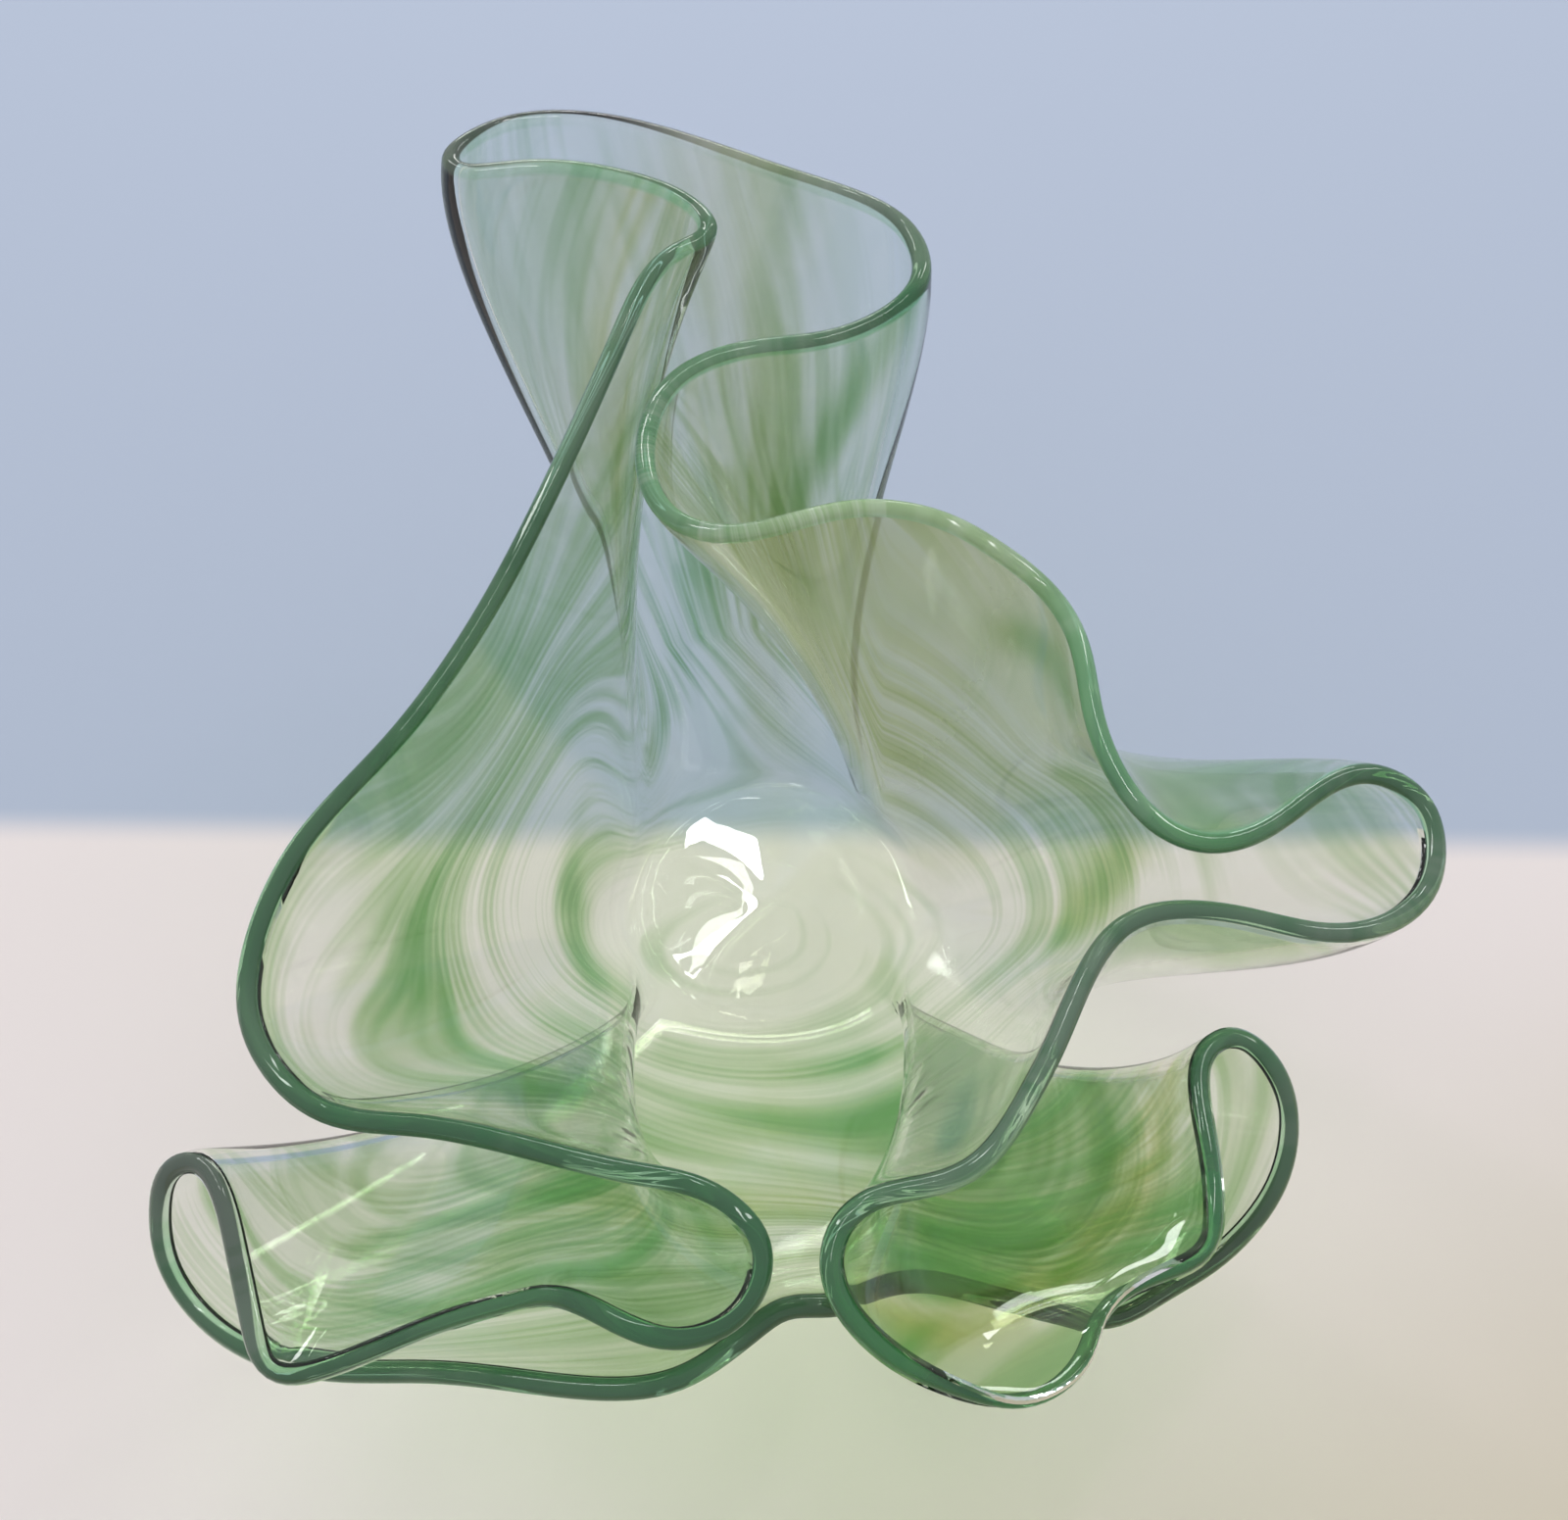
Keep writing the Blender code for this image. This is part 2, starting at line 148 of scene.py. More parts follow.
# Streaks and clear places that stand out: what they add to, how much, how wide (mm), and
# their path by share of the rim and reach (mm)
MARKS = (
    ("green", 0.26, 9.0, ((0.050, 124), (0.073, 126), (0.087, 120), (0.100, 109), (0.114, 99))),
    ("green", -0.30, 8.0, ((0.060, 76), (0.083, 74), (0.105, 72), (0.122, 76))),
    ("green", 0.34, 4.0, ((0.055, 66), (0.080, 60), (0.099, 52), (0.142, 57))),
    ("green", -0.26, 8.0, ((0.090, 138), (0.107, 137), (0.119, 130), (0.138, 118))),
    ("green", 0.42, 3.6, ((0.865, 162), (0.858, 145), (0.852, 131), (0.845, 119), (0.838, 100))),
    ("green", 0.28, 4.5, ((0.899, 170), (0.899, 120), (0.899, 80))),
    ("olive", 0.70, 4.0, ((0.977, 172), (0.976, 130), (0.974, 90))),
    ("green", 0.22, 4.0, ((0.970, 172), (0.971, 150), (0.974, 110))),
    ("green", 0.42, 4.5, ((0.914, 104), (0.921, 86), (0.932, 67), (0.949, 54), (0.978, 48))),
    ("green", 0.40, 6.0, ((0.757, 118), (0.748, 124), (0.738, 130))),
    ("olive", -0.50, 8.0, ((0.752, 122), (0.740, 128))),
    ("green", 0.50, 6.0, ((0.716, 92), (0.709, 92), (0.690, 92), (0.675, 82), (0.660, 78))),
    ("olive", 0.40, 7.0, ((0.709, 91), (0.690, 91), (0.675, 79))),
    ("green", -0.25, 12.0, ((0.735, 62), (0.710, 60), (0.680, 56))),
    ("green", 0.34, 2.6, ((0.330, 44), (0.381, 41), (0.430, 46))),
    ("green", -0.20, 2.4, ((0.330, 51), (0.381, 49), (0.430, 52))),
    ("green", 0.36, 6.5, ((0.330, 66), (0.381, 62), (0.430, 66))),
    ("green", -0.12, 3.0, ((0.330, 78), (0.381, 76), (0.430, 80))),
    ("olive", 0.50, 7.0, ((0.350, 92), (0.381, 88), (0.410, 92))),
    ("green", -0.50, 2.0, ((0.489, 124), (0.505, 128), (0.521, 135), (0.534, 144), (0.548, 151),
                           (0.561, 153))),
    ("olive", 0.85, 5.0, ((0.485, 122), (0.505, 130), (0.521, 138), (0.534, 147), (0.551, 155),
                          (0.561, 156))),
    ("green", -0.35, 1.8, ((0.489, 131), (0.505, 135), (0.521, 143), (0.536, 152))),
    ("green", 0.35, 4.5, ((0.530, 128), (0.540, 130), (0.553, 142))),
    ("green", -0.30, 10.0, ((0.603, 80), (0.601, 100), (0.603, 118))),
    ("green", -0.22, 9.0, ((0.262, 120), (0.258, 150), (0.285, 150))),
    ("green", -0.20, 3.0, ((0.872, 160), (0.864, 142), (0.857, 128), (0.848, 112))),
    ("green", 0.34, 3.0, ((0.210, 112), (0.226, 118), (0.240, 122), (0.252, 134))),
    ("green", -0.34, 2.4, ((0.212, 120), (0.228, 125), (0.241, 128), (0.256, 142))),
    ("green", 0.30, 2.6, ((0.208, 126), (0.224, 131), (0.238, 134), (0.247, 142))),
    ("green", -0.30, 2.2, ((0.205, 132), (0.220, 137), (0.234, 140))),
    ("green", 0.30, 5.0, ((0.402, 108), (0.410, 116), (0.418, 121))),
    ("lively", 0.30, 16.0, ((0.205, 125), (0.230, 125), (0.250, 130))),
    ("lively", -0.35, 26.0, ((0.745, 105), (0.785, 112))),
    ("rim", -0.45, 20.0, ((0.768, 140), (0.795, 140))),
    ("rim", -0.35, 12.0, ((0.258, 150), (0.285, 152))),
    ("lively", 0.30, 18.0, ((0.050, 110), (0.080, 100), (0.110, 90), (0.140, 80))),
    ("lively", -0.55, 22.0, ((0.640, 110), (0.670, 125))),
    ("lively", -0.60, 26.0, ((0.735, 118), (0.760, 118), (0.790, 122))),
    ("lively", -0.45, 40.0, ((0.850, 130), (0.900, 130), (0.960, 130))),
    ("lively", -0.45, 30.0, ((0.880, 170), (0.930, 170), (0.960, 170))),
    ("green", 0.20, 9.0, ((0.868, 170), (0.872, 130), (0.876, 100))),
    ("milk", 0.16, 12.0, ((0.966, 174), (0.968, 130), (0.972, 95))),
    ("rim", -0.80, 26.0, ((0.405, 128), (0.435, 128))),
    ("rim", -0.75, 22.0, ((0.900, 175), (0.918, 175))),
    ("rim", -0.45, 26.0, ((0.930, 175), (0.955, 175))),
)
# Relief of the inner face: a shallow step round the floor of the foot, where the glass sank
# over the mould's edge (reach of its middle, width and depth in millimetres, and by what part
# the depth wanders), and ripples there and along the tight folds: how high and how wide a
# band (mm), its path by share and reach (mm)
RIPPLE_LENGTH = 4.5
STEP_REACH = 26.3
STEP_WIDTH = 1.9
STEP_DEPTH = 0.26
STEP_WANDER = 0.25
RIPPLES = (
    (0.07, 1.6, tuple((turn / 32.0, 26.6) for turn in range(33))),
    (0.20, 5.0, ((0.175, 118), (0.172, 104), (0.169, 90))),
    (0.20, 5.0, ((0.585, 108), (0.583, 94), (0.580, 82))),
    (0.16, 3.5, ((0.984, 162), (0.985, 150))),
    (0.18, 4.5, ((0.254, 146), (0.251, 156))),
    (0.14, 3.0, ((0.385, 128), (0.378, 129))),
    (0.14, 3.0, ((0.064, 150), (0.070, 152), (0.120, 148), (0.150, 140))),
)

# The glass: how strongly it bends light, then the colours that a wall of it lets through,
# from nearly clear to its densest green, at four stops of how green it is. They are plain
# green, olive, sea green and the deeper green seen in the rim
GLASS_IOR = 1.52
STOPS = (0.05, 0.30, 0.60, 0.95)
GREENS = ("#f3f7f2", "#d6e5d0", "#acd0a4", "#86bd80")
OLIVES = ("#f5f5e9", "#e3e6bf", "#c6cf8d", "#93b765")
SEA_GREENS = ("#f2f7f7", "#dcebe8", "#b5d6cb", "#82bba4")
EDGE_GREENS = ("#b9e2be", "#8acb98", "#63b179", "#489b62")
# The densest green is a little cloudy: from what green to what green, and how clear there
DENSE_GREEN = (0.5, 0.9)
DENSE_CLEARNESS = (1.0, 0.84)
# Rim: how milky it is, and by what part its streaks are calmer
RIM_MILK = 0.24
RIM_CALM = 0.6
# What the glass lets through to its shadow, where it is clear and where it is green
SHADOW_TINTS = ("#eff1ee", "#d9e8d2")

# Table and its backdrop in one sheet: size and gap below the foot (m), pale top and cool
# backdrop with the way and the distances (m) over which one turns into the other, and the
# painted shade, darker and warmer, towards the near right corner, with its way and distances
TABLE_HALF = 1.6
TABLE_SQUARES = 8
TABLE_GAP = 0.0003
TABLE_SHADES = ("#f2e8e6", "#b8c2d4")
TABLE_TURN = (0.016, 1.0, 0.0)
TABLE_LINE = (0.0125, 0.0225)
TABLE_PAINTED_SHADE = "#d6ccb4"
TABLE_SHADE_WAY = (0.5, -1.0, 0.0)
TABLE_SHADE_SPREAD = (0.06, 0.26)

# Light: an even surround
WORLD_TINT = "#e9ebef"
WORLD_LIGHT = 0.72
# Soft boxes: name, place (m), width, height (m) and radiance
LAMPS = (
    ("ceiling lamp", (-0.05, 0.505, 0.98), 0.05, 0.08, 22.0),
    ("low window behind", (-0.03, 1.10, 0.50), 0.80, 0.10, 11.0),
    ("strip in front above", (-0.03, 0.02, 1.12), 0.50, 0.05, 13.0),
    ("soft box, left", (-0.60, 0.50, 0.92), 0.08, 0.55, 11.0),
    ("soft box, right", (0.55, 0.50, 0.92), 0.08, 0.55, 11.0),
)

# The flow of the streaks: share of the rim in the middle of the back lobe, from what reach
# and over what length of it streaks turn upright (mm), and by how much and over what length a
# streak wanders (mm), less so by a part where it is upright. Waves that make up a wander, and
# the seeds of the streaks' wander, the step's and the ripples'. Then the streaks: length and
# width (mm), how soft their sides are, and strength
BACK_LOBE = 0.9
UPRIGHT_FROM = 32.0
UPRIGHT_OVER = 35.0
WANDER_WIDTH = 13.0
WANDER_LENGTH = 62.0
UPRIGHT_STEADIER = 0.7
WANDER_WAVES = 8
FLOW_SEED = 4
STEP_SEED = 6
RIPPLE_SEED = 9
STREAKS = ((160.0, 13.0, 0.12, 0.28), (130.0, 4.2, 0.11, 0.36), (90.0, 1.6, 0.13, 0.26))
# Steps between two points of a mark's path
PATH_STEPS = 12

# Camera: the photograph's width and height and its focal length in pixels, width of the
# sensor (mm), place (mm) and how far it looks down (degrees)
FRAME_PIXELS = (1600, 1551)
FOCAL_PIXELS = 1900.0
SENSOR_WIDTH = 36.0
CAMERA_PLACE = (3.2, -188.3, 360.35)
CAMERA_PITCH = 57.98


def closed_spline(points):
    """A closed smooth curve through the points: on each span a cubic whose bend runs evenly
    from one point's to the next one's. Also the length at each point, and the whole."""
    count = len(points)
    span = np.sqrt(np.linalg.norm(np.roll(points, -1, axis=0) - points, axis=1))
    slope = (np.roll(points, -1, axis=0) - points) / span[:, None]
    turn = np.eye(count)
    system = turn * 2.0 * (span + np.roll(span, 1)) + np.roll(turn, 1, axis=1) * span[:, None]
    system += np.roll(turn, -1, axis=1) * np.roll(span, 1)[:, None]
    bend = np.linalg.solve(system, 6.0 * (slope - np.roll(slope, 1, axis=0)))
    h = span[:, None, None]
    t = (np.arange(SPLINE_STEPS) / SPLINE_STEPS)[None, :, None] * h
    near, far = points[:, None], np.roll(points, -1, axis=0)[:, None]
    near_bend, far_bend = bend[:, None], np.roll(bend, -1, axis=0)[:, None]
    cubic = (near_bend * (h - t) ** 3 + far_bend * t ** 3) / (6.0 * h)
    cubic += (near / h - near_bend * h / 6.0) * (h - t) + (far / h - far_bend * h / 6.0) * t
    curve = cubic.reshape(-1, 3)
    step = np.linalg.norm(np.roll(curve, -1, axis=0) - curve, axis=1)
    reached = np.concatenate([[0.0], np.cumsum(step)])
    return curve, reached, reached[:-1:SPLINE_STEPS], reached[-1]


def soften(values, width, length):
    """Columns of values round a closed curve, each smoothed over a width of its length by
    damping its short waves."""
    count = len(values)
    waves = np.fft.rfftfreq(count, length / count)
    kept = np.exp(-2.0 * (math.pi * waves * width) ** 2)
    return np.fft.irfft(np.fft.rfft(values, axis=0) * kept[:, None], count, axis=0)


def round_the_rim(stations, values, turn, length):
    """Values given at stations of a closed curve, at every fine column; turn is what the
    value gains over one whole round."""
    wide = np.concatenate([stations - length, stations, stations + length])
    tall = np.concatenate([values - turn, values, values + turn])
    order = np.argsort(wide)
    places = np.arange(FINE_COLUMNS) * length / FINE_COLUMNS
    return np.interp(places, wide[order], tall[order])


def read_folds():
    """The rim points of all folds in one list, and the guides with their place in it."""
    points = []
    guides = []
    for name, fold_points, fold_guides in RIM_FOLDS:
        for number, angle, push in fold_guides:
            guides.append((len(points) + number, angle) + push)
        points.extend(fold_points)
    return np.array(points, float), np.array(guides, float)


def rim_and_guides():
    """Rim curve at even steps, foot angle and belly push at the same steps, rim length."""
    points, guides = read_folds()
    curve, reached, at_point, length = closed_spline(points)
    closed = np.vstack([curve, curve[:1]])
    places = np.arange(FINE_COLUMNS) * length / FINE_COLUMNS
    rim = np.stack([np.interp(places, reached, closed[:, k]) for k in range(3)], axis=1)
    stations = at_point[guides[:, 0].astype(int)]
    share = 360.0 * np.arange(FINE_COLUMNS) / FINE_COLUMNS
    angle = round_the_rim(stations, guides[:, 1], 360.0, length) - share
    angle = soften(angle[:, None], GUIDE_BLEND, length)[:, 0] + share
    push = np.stack([round_the_rim(stations, guides[:, k], 0.0, length) for k in (2, 3, 4)],
                    axis=1)
    return rim, np.radians(angle), soften(push, GUIDE_BLEND, length), length


def choose_columns(rim, length):
    """Fine columns that the mesh keeps: closer together where the rim bends tightly."""
    turning = np.roll(rim, -1, axis=0) - 2.0 * rim + np.roll(rim, 1, axis=0)
    curvature = np.linalg.norm(turning, axis=1) / (length / FINE_COLUMNS) ** 2
    blend = 2.0 * SHEET_THICKNESS
    crowd = 1.0 + BEND_CROWDING * soften(curvature[:, None], blend, length)[:, 0]
    reached = np.concatenate([[0.0], np.cumsum(crowd)])
    wanted = np.arange(COLUMNS) / COLUMNS * reached[-1]
    return np.interp(wanted, reached, np.arange(FINE_COLUMNS + 1))


def at_columns(values, columns):
    """Fine values read off at the chosen columns."""
    below = np.floor(columns).astype(int) % FINE_COLUMNS
    part = (columns - np.floor(columns))[:, None]
    return values[below] * (1.0 - part) + values[(below + 1) % FINE_COLUMNS] * part


def wall_row(height, rim, angle, push, length):
    """One closed level line of the wall. Height 0 is the foot circle and height 1 the rim;
    between them the plan runs from one to the other by a power law, the folds open out
    towards the foot, and a belly swells the middle."""
    opened = soften(rim, FOLD_OPENING * (1.0 - height), length)
    out = 1.0 - (1.0 - height) ** FLARE
    belly = BELLY_PEAK * height ** 2 * (1.0 - height)
    foot = FOOT_RADIUS * np.stack([np.cos(angle), np.sin(angle)], axis=1)
    plan = foot * (1.0 - out) + opened[:, :2] * out + push[:, :2] * belly
    level = opened[:, 2] * height + push[:, 2] * belly
    return np.concatenate([plan, level[:, None]], axis=1)


def unit(vectors):
    """The same directions, one unit long."""
    return vectors / np.linalg.norm(vectors, axis=-1)[..., None]


def middle_surface():
    """The middle of the glass as rows by columns of points: rings of the flat, the foot's
    bend as a curve pulled towards the foot circle, then the wall. Also each column's place
    along the rim and the rim's length."""
    rim, angle, push, length = rim_and_guides()
    columns = choose_columns(rim, length)
    climb = (np.arange(WALL_ROWS + 1) / WALL_ROWS) ** ROW_SPREAD
    heights = FIRST_ROW + (1.0 - FIRST_ROW) * climb
    circle, *wall = [at_columns(wall_row(height, rim, angle, push, length), columns)
                     for height in [0.0] + list(heights)]
    flat = circle * (1.0 - FOOT_BEND / FOOT_RADIUS)
    bend = [flat * (1.0 - t) ** 2 + circle * 2.0 * t * (1.0 - t) + wall[0] * t ** 2
            for t in np.arange(BEND_ROWS) / BEND_ROWS]
    rows = np.array([flat * ring for ring in FLAT_RINGS] + bend + wall)
    rows[:, :, 2] += SHEET_THICKNESS / 2.0
    return rows, columns / FINE_COLUMNS, length


def glass_skin(rows, ripple):
    """Rows of the closed skin: from the middle of the underside out and up the outside, over
    the rounded rim as a half circle, down the inside and in to the middle of the floor. Each
    face lies half a sheet to its side of the middle of the glass, the inner one with its
    ripples on top."""
    along = np.roll(rows, -1, axis=1) - np.roll(rows, 1, axis=1)
    upward = np.gradient(rows, axis=0)
    inward = unit(np.cross(upward, along))
    inward *= np.sign(inward[0, :, 2].mean())
    inward[:len(FLAT_RINGS) + 1] = (0.0, 0.0, 1.0)
    half = SHEET_THICKNESS / 2.0
    crest = unit(rows[-1] - rows[-2])
    outside = rows - half * inward
    inside = rows + (half + ripple[:, :, None]) * inward
    edge = rows[-1] - half * crest
    turn = math.pi * (np.arange(RIM_STEPS + 1) / RIM_STEPS - 0.5)[:, None, None]
    rounded = edge + half * (np.sin(turn) * inward[-1] + np.cos(turn) * crest)
    return np.concatenate([outside[:-1], rounded, inside[-2::-1]])


def over_skin(values):
    """A value of each point of the middle surface, for each point of the skin."""
    rim = np.repeat(values[-1:], RIM_STEPS + 1, axis=0)
    return np.concatenate([values[:-1], rim, values[-2::-1]])


def by_share(places, column):
    """A column of the looks round the rim, at each place. It eases from one row of the table
    to the next by 3t^2 - 2t^3, so no streak has a kink, and has no step at the start."""
    table = np.array(ROUND_LOOKS)
    share = np.concatenate([table[-1:, 0] - 1.0, table[:, 0], table[:1, 0] + 1.0])
    value = np.concatenate([table[-1:, column], table[:, column], table[:1, column]])
    row = np.clip(np.searchsorted(share, places, side="right") - 1, 0, len(share) - 2)
    t = (places - share[row]) / (share[row + 1] - share[row])
    return value[row] + (value[row + 1] - value[row]) * t ** 2 * (3.0 - 2.0 * t)


def mark_strength(path, width, places, reach, loop):
    """How strongly a mark shows at each point: 1 on its path, falling off as a bell curve
    of the distance on the sheet, which is worked out along short steps of the path."""
    knots = np.array(path)
    spots = np.linspace(0.0, len(knots) - 1.0, PATH_STEPS * (len(knots) - 1) + 1)
    nearest = np.full(reach.shape, np.inf)
    for share, height in zip(np.interp(spots, np.arange(len(knots)), knots[:, 0]),
                             np.interp(spots, np.arange(len(knots)), knots[:, 1])):
        around = (places[None, :] - share + 0.5) % 1.0 - 0.5
        nearest = np.minimum(nearest, (around * loop) ** 2 + (reach - height) ** 2)
    return np.exp(-nearest / width ** 2)


def wander(points, length, seed):
    """A smooth random value at each point, about -1 to 1: a sum of plane waves in seeded
    directions, none much shorter than the length given."""
    random = np.random.default_rng(seed)
    total = np.zeros(points.shape[:-1])
    for wave in range(WANDER_WAVES):
        heading = unit(random.normal(size=3)) * random.uniform(0.5, 1.0) * 2.0 * math.pi / length
        total += np.sin(points @ heading + random.uniform(0.0, 2.0 * math.pi))
    return total / 3.0


def sheet_places(rows):
    """How far each point of the middle surface lies along the glass from the middle of the
    foot, and how long the level line through it is (mm)."""
    step = np.linalg.norm(np.diff(rows, axis=0), axis=2)
    climb = np.concatenate([np.zeros((1, COLUMNS)), np.cumsum(step, axis=0)])
    reach = climb + FLAT_RINGS[0] * (FOOT_RADIUS - FOOT_BEND)
    loop = np.linalg.norm(np.roll(rows, -1, axis=1) - rows, axis=2).sum(axis=1)[:, None]
    return reach, loop


def ripple_height(rows, places, reach, loop):
    """How far the inner face stands proud: minus a step in the foot's floor that eases over
    its width by 3t^2 - 2t^3 and wanders a little in depth, plus the ripples, which fade to
    nothing at the rim."""
    t = np.clip((reach - STEP_REACH) / STEP_WIDTH + 0.5, 0.0, 1.0)
    depth = STEP_DEPTH * (1.0 + STEP_WANDER * wander(rows, 3.0 * RIPPLE_LENGTH, STEP_SEED))
    step = depth * (t * t * (3.0 - 2.0 * t) - 1.0)
    band = sum(height * mark_strength(path, width, places, reach, loop)
               for height, width, path in RIPPLES)
    fade = np.clip((reach[-1] - reach) / SHEET_THICKNESS, 0.0, 1.0)
    return step + band * fade * wander(rows, RIPPLE_LENGTH, RIPPLE_SEED)


def glass_fields(rows, places, length, reach, loop):
    """What the glass material reads at each point of the middle surface: where the point
    lies in the flow of the streaks (mm), how green, olive and sea green the glass is, how
    milky it is, how strongly its streaks show and how much of the rim's deeper green it has.
    A streak runs where the third flow value stays the same."""
    turn = 2.0 * math.pi * places[None, :]
    turned = np.clip((reach - UPRIGHT_FROM) / UPRIGHT_OVER, 0.0, 1.0)
    upright = by_share(places, 4)[None, :] * turned
    around = ((places[None, :] - BACK_LOBE + 0.5) % 1.0 - 0.5) * length
    across = reach * (1.0 - upright) + around * upright
    steady = 1.0 - UPRIGHT_STEADIER * upright
    across += WANDER_WIDTH * wander(rows, WANDER_LENGTH, FLOW_SEED) * steady
    radius = loop / (2.0 * math.pi)
    along = radius * np.cos(turn) + upright * reach
    flow = np.stack([along, radius * np.sin(turn), across], axis=2)
    reach_looks = np.array(REACH_LOOKS)
    part = np.interp(reach, reach_looks[:, 0], reach_looks[:, 1])
    lively = np.interp(reach, reach_looks[:, 0], reach_looks[:, 2])
    looks = {"green": by_share(places, 1)[None, :] * part,
             "olive": by_share(places, 2)[None, :] * part,
             "sea": by_share(places, 3)[None, :] * np.ones_like(reach),
             "milk": by_share(places, 5)[None, :] * part, "lively": lively,
             "rim": np.ones_like(reach)}
    for name, amount, width, path in MARKS:
        looks[name] = looks[name] + amount * mark_strength(path, width, places, reach, loop)
    return {"flow": flow, **looks}


def closed_mesh(name, skin, fields):
    """A mesh of the skin's rings, closed by a fan of triangles at both ends, with the fields
    as attributes of its points."""
    count, columns = skin.shape[:2]
    ends = skin[[0, -1]].mean(axis=1) * (0.0, 0.0, 1.0)
    points = np.concatenate([skin.reshape(-1, 3), ends]) * MM
    low = (np.arange(count - 1)[:, None] * columns + np.arange(columns)[None, :])
    right = np.arange(count - 1)[:, None] * columns + (np.arange(columns)[None, :] + 1) % columns
    quads = np.stack([low, right, right + columns, low + columns], axis=2).reshape(-1, 4)
    first = np.arange(columns)
    after = (first + 1) % columns
    last = (count - 1) * columns
    bottom = np.full(columns, count * columns)
    under = np.stack([after, first, bottom], axis=1)
    floor = np.stack([last + first, last + after, bottom + 1], axis=1)
    mesh = bpy.data.meshes.new(name)
    faces = [tuple(face) for face in np.concatenate([under, floor]).tolist()] + quads.tolist()
    mesh.from_pydata(points.tolist(), [], faces)
    mesh.polygons.foreach_set("use_smooth", np.ones(len(mesh.polygons), bool))
    for title, values in fields.items():
        flat = values.reshape(count * columns, -1)
        flat = np.concatenate([flat, flat[:columns].mean(axis=0)[None, :],
                               flat[-columns:].mean(axis=0)[None, :]])
        kind, member = ("FLOAT", "value") if flat.shape[1] == 1 else ("FLOAT_VECTOR", "vector")
        mesh.attributes.new(title, kind, "POINT").data.foreach_set(member, flat.ravel())
    mesh.update()
    return mesh


def link_object(name, mesh, material):
    """A new object at the origin with this mesh and material."""
    item = bpy.data.objects.new(name, mesh)
    item.data.materials.append(material)
    bpy.context.scene.collection.objects.link(item)
    return item


def colour(code, alpha=1.0):
    """A colour written as an sRGB hex code, turned to linear light."""
    parts = [int(code[i:i + 2], 16) / 255.0 for i in (1, 3, 5)]
    return tuple(c / 12.92 if c <= 0.04045 else ((c + 0.055) / 1.055) ** 2.4
                 for c in parts) + (alpha,)


def add(tree, kind, settings=None, stops=(), **inputs):
    """Add a node. Settings are its own properties, stops are the places and colours of a
    ramp, and inputs go to sockets by name (with _ for a space) or by number after an i, as a
    value or as the socket to link from."""
    node = tree.nodes.new(kind)
    for key, value in (settings or {}).items():
        setattr(node, key, value)
    for number, (place, code) in enumerate(stops):
        elements = node.color_ramp.elements
        element = elements[number] if number < len(elements) else elements.new(1.0)
        element.position = place
        element.color = colour(code)
    for key, value in inputs.items():
        name = int(key[1:]) if key[1:].isdigit() else key.replace("_", " ")
        socket = node.inputs[name]
        if isinstance(value, bpy.types.NodeSocket):
            tree.links.new(value, socket)
        else:
            socket.default_value = value
    return node


def new_material(name):
    """An empty node material: its tree and its output."""
    material = bpy.data.materials.new(name)
    material.use_nodes = True
    tree = material.node_tree
    tree.nodes.clear()
    return material, tree, tree.nodes.new("ShaderNodeOutputMaterial")


